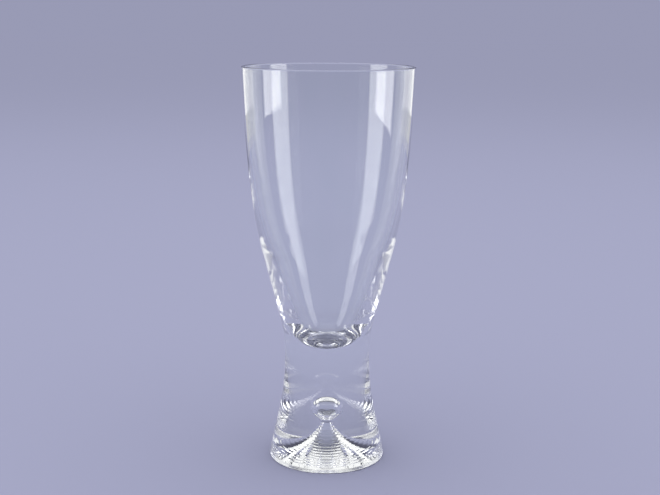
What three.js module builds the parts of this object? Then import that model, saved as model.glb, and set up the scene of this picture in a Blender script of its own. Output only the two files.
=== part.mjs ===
// Clear glass tumbler: a blown bowl fused to a solid waisted stem, and the stem to a flared foot.
// Millimetres, +Z up. The origin is the centre of the foot, on the table.
import * as THREE from "three";

// Levels above the table
const HEIGHT = 175;
const SHOULDER_Z = 58.5;
const WAIST_Z = 46;

// Outer radii
const RIM_R = 37.6;
const SHOULDER_R = 19.7;
const WAIST_R = 18.85;
const FOOT_R = 25.75;
const FOOT_EDGE_R = 0.8;

// How far the outline's curves reach before they bend, out and up
const BELLY_OUT = 8;
const BELLY_UP = 36.5;
const MOUTH_IN = 3.35;
const MOUTH_DOWN = 78.3;
const NECK_UP = 6.5;
const NECK_IN = 0.4;
const NECK_DOWN = 4.5;
const FLARE_IN = 1.9;
const FLARE_UP = 13;
const WAIST_DOWN = 18.9;

// Bowl: the wall at the rim and low down, where it thickens, and the rounded floor inside
const RIM_WALL = 1.35;
const LOW_WALL = 3.5;
const LOW_WALL_ABOVE_SHOULDER = 36.5;
const FLOOR_BELOW_SHOULDER = 6.5;
const FLOOR_FLAT = 10.5;
const INNER_SLOPE = 0.37;
const INNER_DOWN = 38;
const INNER_UP = 10.8;
const INNER_MOUTH_DOWN = 45.6;
const INNER_MOUTH_SLOPE = 0.026;

// The bowl's rounded bottom sinks this far into the head of the stem
const SEAM_DEPTH = 11.5;

// Air bubble: a dome over the seam of stem and foot, a steep side below it and a cone down to a flat
const BUBBLE_R = 4.75;
const BUBBLE_MIDDLE_Z = 22.6;
const BUBBLE_DOME = 5.6;
const BUBBLE_SIDE = 2.2;
const BUBBLE_CONE = 3.2;
const BUBBLE_CONE_R = 4.6;
const BUBBLE_FLAT_R = 1.8;

// Bell-shaped hollow under the foot, with pressed rings
const WEB_UNDER_BUBBLE = 1.3;
const HOLLOW_R = 20.5;
const HOLLOW_TIP_R = 1.6;
const HOLLOW_STEEP_OUT = 2.6;
const HOLLOW_STEEP_DOWN = 8.4;
const HOLLOW_SHALLOW_IN = 9;
const HOLLOW_SHALLOW_UP = 3.6;
const RING_PITCH = 1.6;
const RING_DEPTH = 0.055;

// Facets
const SIDES = 48;

const point = (r, z) => new THREE.Vector2(r, z);

function curve(start, leave, arrive, end) {
  return new THREE.CubicBezierCurve(start, leave, arrive, end);
}

// Points along a curve between two of its parameters, without the first
function along(line, from, to, steps) {
  const points = [];
  for (let i = 1; i <= steps; i++) {
    points.push(line.getPoint(from + ((to - from) * i) / steps));
  }
  return points;
}

// Parameter at which a rising curve reaches a level
function whereAt(line, level) {
  let low = 0;
  let high = 1;
  for (let i = 0; i < 50; i++) {
    const middle = (low + high) / 2;
    if (line.getPoint(middle).y < level) low = middle;
    else high = middle;
  }
  return (low + high) / 2;
}

// Quarter of an ellipse between two angles, without the first point
function arc(centre, radius, rise, from, to, steps) {
  const points = [];
  for (let i = 1; i <= steps; i++) {
    const angle = from + ((to - from) * i) / steps;
    points.push(point(centre.x + radius * Math.cos(angle), centre.y + rise * Math.sin(angle)));
  }
  return points;
}

// Outer outline

const shoulder = point(SHOULDER_R, SHOULDER_Z);
const waist = point(WAIST_R, WAIST_Z);
const lipCentre = point(RIM_R - RIM_WALL / 2, HEIGHT - RIM_WALL / 2);

const bellyOutline = curve(
  shoulder,
  point(SHOULDER_R + BELLY_OUT, SHOULDER_Z + BELLY_UP),
  point(RIM_R - MOUTH_IN, HEIGHT - MOUTH_DOWN),
  point(RIM_R, lipCentre.y),
);

const neckOutline = curve(
  waist,
  point(WAIST_R, WAIST_Z + NECK_UP),
  point(SHOULDER_R - NECK_IN, SHOULDER_Z - NECK_DOWN),
  shoulder,
);

const flareOutline = curve(
  point(FOOT_R, FOOT_EDGE_R),
  point(FOOT_R - FLARE_IN, FOOT_EDGE_R + FLARE_UP),
  point(WAIST_R, WAIST_Z - WAIST_DOWN),
  waist,
);

// Share of the flare that belongs to the foot: it ends level with the bottom of the bubble's dome
const footShare = whereAt(flareOutline, BUBBLE_MIDDLE_Z);

// Seam between bowl and stem: part of a sphere that ends at the shoulder, from the axis outwards
function seam() {
  const sphereR = (SHOULDER_R ** 2 + SEAM_DEPTH ** 2) / (2 * SEAM_DEPTH);
  const bottom = point(0, SHOULDER_Z - SEAM_DEPTH);
  const reach = Math.asin(SHOULDER_R / sphereR);
  const centre = point(0, bottom.y + sphereR);
  const points = arc(centre, sphereR, sphereR, -Math.PI / 2, -Math.PI / 2 + reach, 7);
  points[points.length - 1] = shoulder;
  return [bottom, ...points];
}

// Inside of the bowl, from the rim down to the floor on the axis
function bowlInside() {
  const level = SHOULDER_Z + LOW_WALL_ABOVE_SHOULDER;
  const outer = bellyOutline.getPoint(whereAt(bellyOutline, level));
  const low = point(outer.x - LOW_WALL, level);
  const mouth = point(RIM_R - RIM_WALL, lipCentre.y);
  const floorZ = SHOULDER_Z - FLOOR_BELOW_SHOULDER;
  const upper = curve(
    mouth,
    point(mouth.x - INNER_MOUTH_SLOPE * INNER_MOUTH_DOWN, mouth.y - INNER_MOUTH_DOWN),
    point(low.x + INNER_SLOPE * INNER_UP, low.y + INNER_UP),
    low,
  );
  const lower = curve(
    low,
    point(low.x - INNER_SLOPE * INNER_DOWN, low.y - INNER_DOWN),
    point(FLOOR_FLAT, floorZ),
    point(0, floorZ),
  );
  return [...along(upper, 0, 1, 8), ...along(lower, 0, 1, 12)];
}

function bowlProfile() {
  return [
    ...seam(),
    ...along(bellyOutline, 0, 1, 16),
    ...arc(lipCentre, RIM_WALL / 2, RIM_WALL / 2, 0, Math.PI, 6),
    ...bowlInside(),
  ];
}

// Stem: the bubble's dome, the flat seam with the foot, the waist and the seam with the bowl
function stemProfile() {
  const bubbleMiddle = point(0, BUBBLE_MIDDLE_Z);
  return [
    point(0, BUBBLE_MIDDLE_Z + BUBBLE_DOME),
    ...arc(bubbleMiddle, BUBBLE_R, BUBBLE_DOME, Math.PI / 2, 0, 6),
    flareOutline.getPoint(footShare),
    ...along(flareOutline, footShare, 1, 6),
    ...along(neckOutline, 0, 1, 4),
    ...seam().reverse().slice(1),
  ];
}

// Hollow under the foot, from the axis outwards, with a groove round it at every ring
function hollow(topZ) {
  const bell = curve(
    point(HOLLOW_TIP_R, topZ),
    point(HOLLOW_TIP_R + HOLLOW_STEEP_OUT, topZ - HOLLOW_STEEP_DOWN),
    point(HOLLOW_R - HOLLOW_SHALLOW_IN, HOLLOW_SHALLOW_UP),
    point(HOLLOW_R, 0),
  );
  const length = bell.getLength();
  const rings = Math.floor(length / RING_PITCH) - 1;
  const points = [point(0, topZ), bell.getPoint(0)];
  for (let i = 1; i <= rings; i++) {
    const groove = ((i - 0.5) * RING_PITCH) / length;
    const way = bell.getTangentAt(groove);
    const intoGlass = point(-way.y, way.x).multiplyScalar(RING_DEPTH);
    points.push(bell.getPointAt(groove).add(intoGlass));
    points.push(bell.getPointAt((i * RING_PITCH) / length));
  }
  points.push(bell.getPoint(1));
  return points;
}

// Foot: the hollow, the ring it stands on, the flare, the flat seam and the bubble's lower half
function footProfile() {
  const coneTop = BUBBLE_MIDDLE_Z - BUBBLE_SIDE;
  const bubbleBottom = coneTop - BUBBLE_CONE;
  const edgeCentre = point(FOOT_R - FOOT_EDGE_R, FOOT_EDGE_R);
  return [
    ...hollow(bubbleBottom - WEB_UNDER_BUBBLE),
    point(edgeCentre.x, 0),
    ...arc(edgeCentre, FOOT_EDGE_R, FOOT_EDGE_R, -Math.PI / 2, 0, 3),
    ...along(flareOutline, 0, footShare, 5),
    point(BUBBLE_R, BUBBLE_MIDDLE_Z),
    point(BUBBLE_CONE_R, coneTop),
    point(BUBBLE_FLAT_R, bubbleBottom),
    point(0, bubbleBottom),
  ];
}

// Turns an outline of radius and level about the axis
function turned(name, profile) {
  const shape = new THREE.LatheGeometry(profile, SIDES);
  shape.rotateX(Math.PI / 2);
  const glass = new THREE.MeshStandardMaterial({ color: "#edf1f4", roughness: 0.02, metalness: 0 });
  const mesh = new THREE.Mesh(shape, glass);
  mesh.name = name;
  return mesh;
}

const tumbler = new THREE.Group();
tumbler.add(turned("bowl", bowlProfile()));
tumbler.add(turned("stem", stemProfile()));
tumbler.add(turned("foot", footProfile()));

export default tumbler;
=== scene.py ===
import math

import bpy
from mathutils import Matrix


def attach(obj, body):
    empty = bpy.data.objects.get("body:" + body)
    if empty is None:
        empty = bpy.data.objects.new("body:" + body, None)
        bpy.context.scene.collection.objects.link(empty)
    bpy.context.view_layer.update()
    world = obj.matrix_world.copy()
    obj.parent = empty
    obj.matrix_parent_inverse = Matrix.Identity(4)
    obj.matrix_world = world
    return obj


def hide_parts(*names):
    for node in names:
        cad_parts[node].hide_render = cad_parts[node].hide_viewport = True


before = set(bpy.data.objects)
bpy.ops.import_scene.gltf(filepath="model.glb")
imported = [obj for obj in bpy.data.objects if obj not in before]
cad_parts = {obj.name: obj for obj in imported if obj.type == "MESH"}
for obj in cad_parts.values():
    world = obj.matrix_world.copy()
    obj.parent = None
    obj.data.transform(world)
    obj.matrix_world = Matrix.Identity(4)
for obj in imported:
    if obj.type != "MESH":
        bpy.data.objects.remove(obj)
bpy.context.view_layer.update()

# Bowl: clear lead-free crystal, blown into a mould, cracked off at the top and melted smooth there.
# The wall is thin at the rim, thickens downwards, and ends inside in a small rounded floor.
# Its rounded bottom is fused hot into the head of the stem, so the joint can't be seen.

MM = 0.001

HEIGHT = 175
SHOULDER_Z = 58.5
SHOULDER_R = 19.7
RIM_R = 37.6
BELLY_OUT = 8
BELLY_UP = 36.5
MOUTH_IN = 3.35
MOUTH_DOWN = 78.3
RIM_WALL = 1.35
LOW_WALL = 3.5
LOW_WALL_ABOVE_SHOULDER = 36.5
FLOOR_BELOW_SHOULDER = 6.5
FLOOR_FLAT = 10.5
INNER_SLOPE = 0.37
INNER_DOWN = 38
INNER_UP = 10.8
INNER_MOUTH_DOWN = 45.6
INNER_MOUTH_SLOPE = 0.026
SEAM_DEPTH = 11.5

GLASS_IOR = 1.52
CLEAR_GLASS = "FFFFFF"
CLEAR_CORD = "FAFDFC"
CORD_WIDTH = 7
CORD_LENGTH = 30
CORD_DEPTH = 0.006
CORD_DETAIL = 1.0
WORN_LEVEL = 0.35
WORN_ROUGHNESS = 0.32
SCRATCH_WIDTH = 0.4
SCRATCH_DETAIL = 3.0

# Facets round the axis, and along each stretch of the bowl's outline
SIDES = 224
SEAM_ROWS = 16
BELLY_ROWS = 64
LIP_ROWS = 12
INNER_MOUTH_ROWS = 48
INNER_FLOOR_ROWS = 56

# How finely curves are followed: halvings in a search, the share of a curve that gives its direction,
# and the decimals of a millimetre within which two corners are one
HALVINGS = 50
NEARBY = 1e-4
SAME_TO = 5

# The two skins of a piece: bare glass, and glass fused to its neighbour
BARE = 0
FUSED = 1


def bend(start, leave, arrive, end):
    """A cubic curve through radius and level in millimetres, as a function of how far along it is."""
    def place(share):
        rest = 1 - share
        weights = (rest ** 3, 3 * rest * rest * share, 3 * rest * share * share, share ** 3)
        corners = (start, leave, arrive, end)
        return tuple(sum(w * corner[i] for w, corner in zip(weights, corners)) for i in (0, 1))
    return place


def round_about(centre, across, up, first, last):
    """Part of an ellipse between two angles in degrees, as a function of how far along it is."""
    def place(share):
        angle = math.radians(first + (last - first) * share)
        return centre[0] + across * math.cos(angle), centre[1] + up * math.sin(angle)
    return place


def share_at(place, level):
    """How far along a rising curve a level is reached."""
    low, high = 0.0, 1.0
    for _ in range(HALVINGS):
        middle = (low + high) / 2
        if place(middle)[1] < level:
            low = middle
        else:
            high = middle
    return (low + high) / 2


def facing(before, after):
    """The outward direction at a point between two others, on an outline with the glass on its left."""
    length = math.hypot(after[0] - before[0], after[1] - before[1])
    return (after[1] - before[1]) / length, (before[0] - after[0]) / length


def station(place, share):
    """Radius, level and outward direction at one share of a curve."""
    return (*place(share), *facing(place(share - NEARBY), place(share + NEARBY)))


def stations(place, rows, first=0.0, last=1.0):
    """Stations at equal steps along a curve, from one share of it to another."""
    return [station(place, first + (last - first) * i / rows) for i in range(rows + 1)]


def shaped(name, corners, faces):
    """An object in the scene, from its corners in metres and the faces between them."""
    mesh = bpy.data.meshes.new(name)
    mesh.from_pydata(corners, [], faces)
    piece = bpy.data.objects.new(name, mesh)
    bpy.context.scene.collection.objects.link(piece)
    return piece


def turned(name, strokes, skins):
    """A closed body turned about the upright axis. A stroke is some stations and their skin's number."""
    angles = [2 * math.pi * k / SIDES for k in range(SIDES)]
    turns = [(math.cos(angle), math.sin(angle)) for angle in angles]
    corners, faces, skin_of, directions, rings = [], [], [], [], {}

    def ring(radius, level):
        key = (round(radius, SAME_TO), round(level, SAME_TO))
        if key not in rings:
            first = len(corners)
            if radius < 10 ** -SAME_TO:
                corners.append((0, 0, level * MM))
                rings[key] = [first] * SIDES
            else:
                corners.extend((radius * MM * c, radius * MM * s, level * MM) for c, s in turns)
                rings[key] = [first + k for k in range(SIDES)]
        return rings[key]

    for stroke, skin in strokes:
        for here, there in zip(stroke, stroke[1:]):
            low, high = ring(*here[:2]), ring(*there[:2])
            for k in range(SIDES):
                m = (k + 1) % SIDES
                around = [(low[k], here, k), (low[m], here, m), (high[m], there, m), (high[k], there, k)]
                if low[k] == low[m]:
                    around.pop(1)
                if high[k] == high[m]:
                    around.pop(2)
                skin_of.append(skin)
                faces.append([corner for corner, _, _ in around])
                for _, (_, _, out, up), n in around:
                    directions.append((out * turns[n][0], out * turns[n][1], up))

    piece = shaped(name, corners, faces)
    for skin in skins:
        piece.data.materials.append(skin)
    piece.data.polygons.foreach_set("material_index", skin_of)
    piece.data.polygons.foreach_set("use_smooth", [True] * len(faces))
    piece.data.normals_split_custom_set(directions)
    return piece


def linear(colour):
    """Red, green, blue and alpha as light, from an sRGB hex colour."""
    parts = [int(colour[i:i + 2], 16) / 255 for i in (0, 2, 4)]
    return (*(p / 12.92 if p <= 0.04045 else ((p + 0.055) / 1.055) ** 2.4 for p in parts), 1)


def add(tree, kind, inputs=None, **settings):
    """Adds a node with its settings. An input is a plain value, or the output that it is linked to."""
    node = tree.nodes.new(kind)
    for name, value in settings.items():
        setattr(node, name, value)
    for name, value in (inputs or {}).items():
        if isinstance(value, bpy.types.NodeSocket):
            tree.links.new(value, node.inputs[name])
        else:
            node.inputs[name].default_value = value
    return node


def new_material(name):
    """A material without any node yet, and its tree."""
    material = bpy.data.materials.new(name)
    material.use_nodes = True
    material.node_tree.nodes.clear()
    return material, material.node_tree


def fire_polished_crystal():
    """Clear lead-free crystal, blown and fire-polished: a sharp, colourless look through the wall.
    Faint upright cords from the gather bend what is behind it. The ring that it stands on is scratched
    dull by use. Real scratches are finer, and are drawn as wide as they need to be to show."""
    material, tree = new_material("fire_polished_crystal")
    place = add(tree, "ShaderNodeTexCoord").outputs["Object"]
    across, along = 1 / (CORD_WIDTH * MM), 1 / (CORD_LENGTH * MM)
    stretched = add(tree, "ShaderNodeVectorMath", {
        0: place, 1: (across, across, along),
    }, operation="MULTIPLY")
    cords = add(tree, "ShaderNodeTexNoise", {
        "Vector": stretched.outputs[0], "Scale": 1.0, "Detail": CORD_DETAIL,
    })
    tint = add(tree, "ShaderNodeMix", {
        "Factor": cords.outputs["Fac"], "A": linear(CLEAR_GLASS), "B": linear(CLEAR_CORD),
    }, data_type="RGBA")
    wave = add(tree, "ShaderNodeBump", {
        "Height": cords.outputs["Fac"], "Distance": CORD_DEPTH * MM, "Strength": 1.0,
    })
    level = add(tree, "ShaderNodeSeparateXYZ", {"Vector": place}).outputs["Z"]
    standing = add(tree, "ShaderNodeMapRange", {
        "Value": level, "From Min": 0.0, "From Max": WORN_LEVEL * MM,
        "To Min": WORN_ROUGHNESS, "To Max": 0.0,
    })
    scratches = add(tree, "ShaderNodeTexNoise", {
        "Vector": place, "Scale": 1 / (SCRATCH_WIDTH * MM), "Detail": SCRATCH_DETAIL,
    })
    worn = add(tree, "ShaderNodeMath", {
        0: standing.outputs[0], 1: scratches.outputs["Fac"],
    }, operation="MULTIPLY")
    glass = add(tree, "ShaderNodeBsdfPrincipled", {
        "Base Color": tint.outputs[2], "Roughness": worn.outputs[0], "Normal": wave.outputs[0],
        "IOR": GLASS_IOR, "Transmission Weight": 1.0,
    })
    add(tree, "ShaderNodeOutputMaterial", {"Surface": glass.outputs[0]})
    return material


def fused_joint():
    """Where two gathers of hot glass melted into one. Nothing shows there."""
    material, tree = new_material("fused_joint")
    clear = add(tree, "ShaderNodeBsdfTransparent")
    add(tree, "ShaderNodeOutputMaterial", {"Surface": clear.outputs[0]})
    return material


shoulder = (SHOULDER_R, SHOULDER_Z)
lip_centre = (RIM_R - RIM_WALL / 2, HEIGHT - RIM_WALL / 2)
lip = round_about(lip_centre, RIM_WALL / 2, RIM_WALL / 2, 0, 180)
belly = bend(
    shoulder,
    (SHOULDER_R + BELLY_OUT, SHOULDER_Z + BELLY_UP),
    (RIM_R - MOUTH_IN, HEIGHT - MOUTH_DOWN),
    (RIM_R, lip_centre[1]),
)
mouth = (RIM_R - RIM_WALL, lip_centre[1])
low_wall_z = SHOULDER_Z + LOW_WALL_ABOVE_SHOULDER
low_wall = (belly(share_at(belly, low_wall_z))[0] - LOW_WALL, low_wall_z)
inner_mouth = bend(
    mouth,
    (mouth[0] - INNER_MOUTH_SLOPE * INNER_MOUTH_DOWN, mouth[1] - INNER_MOUTH_DOWN),
    (low_wall[0] + INNER_SLOPE * INNER_UP, low_wall[1] + INNER_UP),
    low_wall,
)
floor_z = SHOULDER_Z - FLOOR_BELOW_SHOULDER
inner_floor = bend(
    low_wall,
    (low_wall[0] - INNER_SLOPE * INNER_DOWN, low_wall[1] - INNER_DOWN),
    (FLOOR_FLAT, floor_z),
    (0, floor_z),
)
seam_ball = (SHOULDER_R ** 2 + SEAM_DEPTH ** 2) / (2 * SEAM_DEPTH)
seam_centre = (0, SHOULDER_Z - SEAM_DEPTH + seam_ball)
seam_reach = math.degrees(math.asin(SHOULDER_R / seam_ball))
seam = round_about(seam_centre, seam_ball, seam_ball, -90, -90 + seam_reach)

crystal = fire_polished_crystal()
joint = fused_joint()
bowl = turned("bowl_glass", [
    (stations(seam, SEAM_ROWS), FUSED),
    (stations(belly, BELLY_ROWS), BARE),
    (stations(lip, LIP_ROWS), BARE),
    (stations(inner_mouth, INNER_MOUTH_ROWS), BARE),
    (stations(inner_floor, INNER_FLOOR_ROWS), BARE),
], [crystal, joint])
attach(bowl, "root")
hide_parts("bowl")

# Stem: a solid gather of the same crystal, drawn in to a waist under the bowl and flared below it.
# Pricked while hot, it closed over a drop of air. The bubble's dome is the stem's, and its lower
# half the foot's.

WAIST_Z = 46
WAIST_R = 18.85
NECK_UP = 6.5
NECK_IN = 0.4
NECK_DOWN = 4.5
FOOT_R = 25.75
FOOT_EDGE_R = 0.8
FLARE_IN = 1.9
FLARE_UP = 13
WAIST_DOWN = 18.9
BUBBLE_R = 4.75
BUBBLE_MIDDLE_Z = 22.6
BUBBLE_DOME = 5.6

BUBBLE_DOME_ROWS = 20
UPPER_FLARE_ROWS = 36
NECK_ROWS = 20


def straight(start, end):
    """Stations at the two ends of a straight stroke."""
    out, up = facing(start, end)
    return [(*start, out, up), (*end, out, up)]


def underside(stroke):
    """The same stations from the other side, in the other order."""
    return [(r, z, -out, -up) for r, z, out, up in reversed(stroke)]


waist = (WAIST_R, WAIST_Z)
neck = bend(
    waist,
    (WAIST_R, WAIST_Z + NECK_UP),
    (SHOULDER_R - NECK_IN, SHOULDER_Z - NECK_DOWN),
    shoulder,
)
flare = bend(
    (FOOT_R, FOOT_EDGE_R),
    (FOOT_R - FLARE_IN, FOOT_EDGE_R + FLARE_UP),
    (WAIST_R, WAIST_Z - WAIST_DOWN),
    waist,
)
foot_share = share_at(flare, BUBBLE_MIDDLE_Z)
foot_top = flare(foot_share)
bubble_side = (BUBBLE_R, BUBBLE_MIDDLE_Z)
bubble_dome = round_about((0, BUBBLE_MIDDLE_Z), BUBBLE_R, BUBBLE_DOME, 90, 0)

stem = turned("stem_glass", [
    (stations(bubble_dome, BUBBLE_DOME_ROWS), BARE),
    (straight(bubble_side, foot_top), FUSED),
    (stations(flare, UPPER_FLARE_ROWS, foot_share, 1), BARE),
    (stations(neck, NECK_ROWS), BARE),
    (underside(stations(seam, SEAM_ROWS)), FUSED),
], [crystal, joint])
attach(stem, "root")
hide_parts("stem")

# Foot: the flared end of the same solid glass, hollowed from below by a bell-shaped tool. The tool
# was turned, and its fine steps are pressed into the hollow as rings. It stands on a narrow ring.

BUBBLE_SIDE = 2.2
BUBBLE_CONE = 3.2
BUBBLE_CONE_R = 4.6
BUBBLE_FLAT_R = 1.8
WEB_UNDER_BUBBLE = 1.3
HOLLOW_R = 20.5
HOLLOW_TIP_R = 1.6
HOLLOW_STEEP_OUT = 2.6
HOLLOW_STEEP_DOWN = 8.4
HOLLOW_SHALLOW_IN = 9
HOLLOW_SHALLOW_UP = 3.6
RING_PITCH = 1.6
RING_DEPTH = 0.055

ROWS_TO_A_RING = 20
FOOT_EDGE_ROWS = 8
LOWER_FLARE_ROWS = 40

# A groove's depth follows a sine to this power, so that it is narrower than the land beside it
GROOVE_POWER = 4

# Short steps in which the hollow's curve is measured
MEASURED_STEPS = 2000


def ringed(place, pitch, depth):
    """Points along a curve, with a rounded groove into the glass at every pitch."""
    fine = [place(i / MEASURED_STEPS) for i in range(MEASURED_STEPS + 1)]
    way = [0.0]
    for (r0, z0), (r1, z1) in zip(fine, fine[1:]):
        way.append(way[-1] + math.hypot(r1 - r0, z1 - z0))
    grooves = int(way[-1] / pitch) - 1
    made, at = [], 0
    for i in range(int(way[-1] / pitch * ROWS_TO_A_RING) + 1):
        length = i * pitch / ROWS_TO_A_RING
        while at < len(way) - 2 and way[at + 1] < length:
            at += 1
        share = (at + (length - way[at]) / (way[at + 1] - way[at])) / MEASURED_STEPS
        r, z, out, up = station(place, share)
        cut = 0
        if length < grooves * pitch:
            cut = depth * math.sin(math.pi * (length / pitch % 1)) ** GROOVE_POWER
        made.append((r - out * cut, z - up * cut))
    return made + [place(1)]


def smooth(points):
    """Stations at given points, each facing square to the line between its neighbours."""
    before = points[:1] + points[:-1]
    after = points[1:] + points[-1:]
    return [(*here, *facing(back, ahead)) for here, back, ahead in zip(points, before, after)]


bubble_cone = (BUBBLE_CONE_R, BUBBLE_MIDDLE_Z - BUBBLE_SIDE)
bubble_flat = (BUBBLE_FLAT_R, bubble_cone[1] - BUBBLE_CONE)
hollow_tip = (HOLLOW_TIP_R, bubble_flat[1] - WEB_UNDER_BUBBLE)
bell = bend(
    hollow_tip,
    (HOLLOW_TIP_R + HOLLOW_STEEP_OUT, hollow_tip[1] - HOLLOW_STEEP_DOWN),
    (HOLLOW_R - HOLLOW_SHALLOW_IN, HOLLOW_SHALLOW_UP),
    (HOLLOW_R, 0),
)
edge_centre = (FOOT_R - FOOT_EDGE_R, FOOT_EDGE_R)
foot_edge = round_about(edge_centre, FOOT_EDGE_R, FOOT_EDGE_R, -90, 0)

foot = turned("foot_glass", [
    (straight((0, hollow_tip[1]), hollow_tip), BARE),
    (smooth(ringed(bell, RING_PITCH, RING_DEPTH)), BARE),
    (straight((HOLLOW_R, 0), (edge_centre[0], 0)), BARE),
    (stations(foot_edge, FOOT_EDGE_ROWS), BARE),
    (stations(flare, LOWER_FLARE_ROWS, 0, foot_share), BARE),
    (straight(foot_top, bubble_side), FUSED),
    (straight(bubble_side, bubble_cone), BARE),
    (straight(bubble_cone, bubble_flat), BARE),
    (straight(bubble_flat, (0, bubble_flat[1])), BARE),
], [crystal, joint])
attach(foot, "root")
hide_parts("foot")

# Set: a plain pale board under the glass, running out to a plain backdrop of the same colour.
# Above the backdrop the room is dimmer, which only the glass shows: the board gets even light.

BOARD_COLOUR = "A9ABC8"
BOARD_R = 8000
BOARD_DROP = 0.1
BOARD_SIDES = 96
ROOM_COLOUR = "FFFFFF"
ROOM_LIGHT = 0.8
UPPER_ROOM = 0.15

# Degrees above level at which the backdrop ends and the dim upper room begins
BACKDROP_TO = 15
UPPER_ROOM_FROM = 30


def matt_card():
    """Thick card with a matt coat: an even colour without any gloss."""
    material, tree = new_material("matt_card")
    card = add(tree, "ShaderNodeBsdfDiffuse", {"Color": linear(BOARD_COLOUR)})
    add(tree, "ShaderNodeOutputMaterial", {"Surface": card.outputs[0]})
    return material


# The board gets the same light from all round, so no ray is aimed at a part of the room
world = bpy.data.worlds.new("room")
world.use_nodes = True
world.cycles.sampling_method = "NONE"
bpy.context.scene.world = world
room = world.node_tree
room.nodes.clear()
diffuse = add(room, "ShaderNodeLightPath").outputs["Is Diffuse Ray"]
direction = add(room, "ShaderNodeTexCoord").outputs["Generated"]
up = add(room, "ShaderNodeSeparateXYZ", {"Vector": direction})
dimmed = add(room, "ShaderNodeMapRange", {
    "Value": up.outputs["Z"], "To Min": ROOM_LIGHT, "To Max": UPPER_ROOM,
    "From Min": math.sin(math.radians(BACKDROP_TO)), "From Max": math.sin(math.radians(UPPER_ROOM_FROM)),
})
shown = add(room, "ShaderNodeBackground", {"Color": linear(BOARD_COLOUR), "Strength": dimmed.outputs[0]})
light = add(room, "ShaderNodeBackground", {"Color": linear(ROOM_COLOUR), "Strength": ROOM_LIGHT})
either = add(room, "ShaderNodeMixShader", {0: diffuse, 1: shown.outputs[0], 2: light.outputs[0]})
add(room, "ShaderNodeOutputWorld", {"Surface": either.outputs[0]})

board_edge = []
for k in range(BOARD_SIDES):
    angle = 2 * math.pi * k / BOARD_SIDES
    board_edge.append((BOARD_R * MM * math.cos(angle), BOARD_R * MM * math.sin(angle), -BOARD_DROP * MM))
board = shaped("board", board_edge, [list(range(BOARD_SIDES))])
board.data.materials.append(matt_card())

# Lights: a wide soft lamp overhead for the board, and soft boxes that only the glass shows. A tall
# box stands on each side, with weaker ones in three levels behind it, and a wide one hangs overhead.
# The back box stands high behind the glass, and fills the bubble's bright crescent.

BOX_DISTANCE = 500
BOX_PANES = 12
BOX_COLOUR = "FFFFFF"

# Upright boxes: two bearings in degrees, with the camera at zero, then the level of the lower edge at
# each bearing and of the top, and last the strength
UPRIGHT_BOXES = [
    (-92, -63, 75, 83, 420, 3.6),
    (63, 92, 75, 54, 420, 3.6),
    (-150, -115, 60, 60, 100, 0.6),
    (115, 150, 60, 60, 100, 0.6),
    (-150, -115, 100, 100, 210, 1.1),
    (115, 150, 100, 100, 210, 1.1),
    (-150, -100, 300, 300, 950, 1.0),
    (100, 150, 300, 300, 950, 1.0),
]
BACK_BOX = (150, 210, 420, 420, 1100, 0.9)

# Overhead: last come its strength in the glass and its strength on the board
TOP_SIZE = 2400
TOP_HEIGHT = 1200
TOP_SHOWN = 1.0
TOP_LIGHT = 0.36

# Between no reflection on the way, which counts 0, and one or more
REFLECTED_FROM = 0.5


def lit_screen(name, strength, seen_through):
    """Evenly lit white cloth. It shows only as a reflection, or else only straight through the glass."""
    material, tree = new_material(name)
    reflections = add(tree, "ShaderNodeLightPath").outputs["Glossy Depth"]
    hidden = add(tree, "ShaderNodeMath", {
        0: reflections, 1: REFLECTED_FROM,
    }, operation="GREATER_THAN" if seen_through else "LESS_THAN")
    lit = add(tree, "ShaderNodeEmission", {"Color": linear(BOX_COLOUR), "Strength": strength})
    clear = add(tree, "ShaderNodeBsdfTransparent")
    either = add(tree, "ShaderNodeMixShader", {
        0: hidden.outputs[0], 1: lit.outputs[0], 2: clear.outputs[0],
    })
    add(tree, "ShaderNodeOutputMaterial", {"Surface": either.outputs[0]})
    return material


def soft_box(name, corners, faces, strength, seen_through=False):
    """A glowing screen that neither lights nor shades the board."""
    screen = shaped(name, corners, faces)
    screen.data.materials.append(lit_screen(name, strength, seen_through))
    screen.visible_camera = False
    screen.visible_diffuse = False
    screen.visible_shadow = False


def upright_box(name, box, seen_through=False):
    """A soft box that curves round the glass."""
    first, last, low_first, low_last, high, strength = box
    lower, upper = [], []
    for i in range(BOX_PANES + 1):
        share = i / BOX_PANES
        turn = math.radians(first + (last - first) * share)
        x, y = BOX_DISTANCE * MM * math.sin(turn), -BOX_DISTANCE * MM * math.cos(turn)
        lower.append((x, y, (low_first + (low_last - low_first) * share) * MM))
        upper.append((x, y, high * MM))
    row = BOX_PANES + 1
    panes = [(i, i + 1, i + 1 + row, i + row) for i in range(BOX_PANES)]
    soft_box(name, lower + upper, panes, strength, seen_through)


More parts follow.
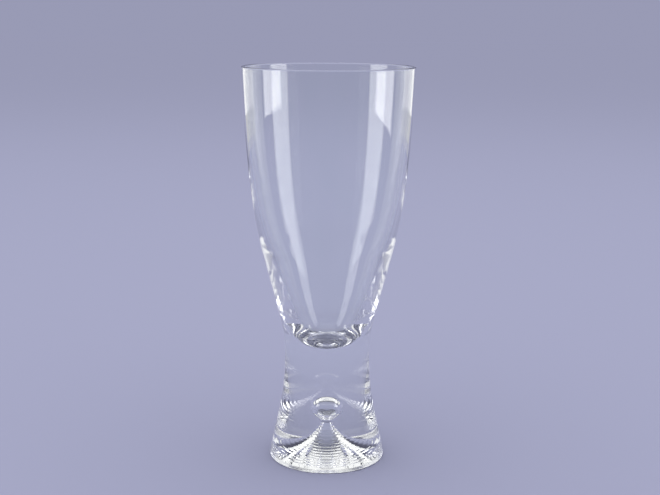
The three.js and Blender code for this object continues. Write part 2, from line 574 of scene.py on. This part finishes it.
for number, box in enumerate(UPRIGHT_BOXES):
    upright_box(f"upright_box_{number}", box)
upright_box("back_box", BACK_BOX, seen_through=True)

half = TOP_SIZE * MM / 2
top_sides = ((-half, -half), (-half, half), (half, half), (half, -half))
soft_box("top_box", [(x, y, TOP_HEIGHT * MM) for x, y in top_sides], [(0, 1, 2, 3)], TOP_SHOWN)

lamp = bpy.data.lights.new("top_lamp", "AREA")
lamp.size = TOP_SIZE * MM
lamp.energy = TOP_LIGHT * math.pi * (TOP_SIZE * MM) ** 2
overhead = bpy.data.objects.new("top_lamp", lamp)
overhead.location = (0, 0, TOP_HEIGHT * MM)
overhead.visible_camera = False
overhead.visible_glossy = False
overhead.visible_transmission = False
bpy.context.scene.collection.objects.link(overhead)

# Camera: a little above the rim and looking a little down, as in the photograph. Its place, turn and
# lens were fitted to the outline of the glass and to the ellipses of its rim and foot.

IMAGE_WIDTH = 660
FOCAL_PIXELS = 1185.28
CAMERA_PLACE = (1.04, -514.08, 197.53)
CAMERA_DOWN = 11.209
CAMERA_ROLL = 0.34
NEAREST_SEEN = 10

lens = bpy.data.cameras.new("camera")
lens.sensor_fit = "HORIZONTAL"
lens.angle = 2 * math.atan(IMAGE_WIDTH / 2 / FOCAL_PIXELS)
lens.clip_start = NEAREST_SEEN * MM
camera = bpy.data.objects.new("camera", lens)
bpy.context.scene.collection.objects.link(camera)
camera.matrix_world = (
    Matrix.Translation([v * MM for v in CAMERA_PLACE])
    @ Matrix.Rotation(math.radians(90 - CAMERA_DOWN), 4, "X")
    @ Matrix.Rotation(math.radians(CAMERA_ROLL), 4, "Z")
)
bpy.context.scene.camera = camera
bpy.context.scene.view_settings.view_transform = "Standard"

# Light crosses many walls of clear glass before it leaves, and many fused joints and hidden screens.

WALLS_CROSSED = 64
JOINTS_CROSSED = 24

bounces = bpy.context.scene.cycles
bounces.max_bounces = WALLS_CROSSED
bounces.transmission_bounces = WALLS_CROSSED
bounces.glossy_bounces = WALLS_CROSSED
bounces.transparent_max_bounces = JOINTS_CROSSED
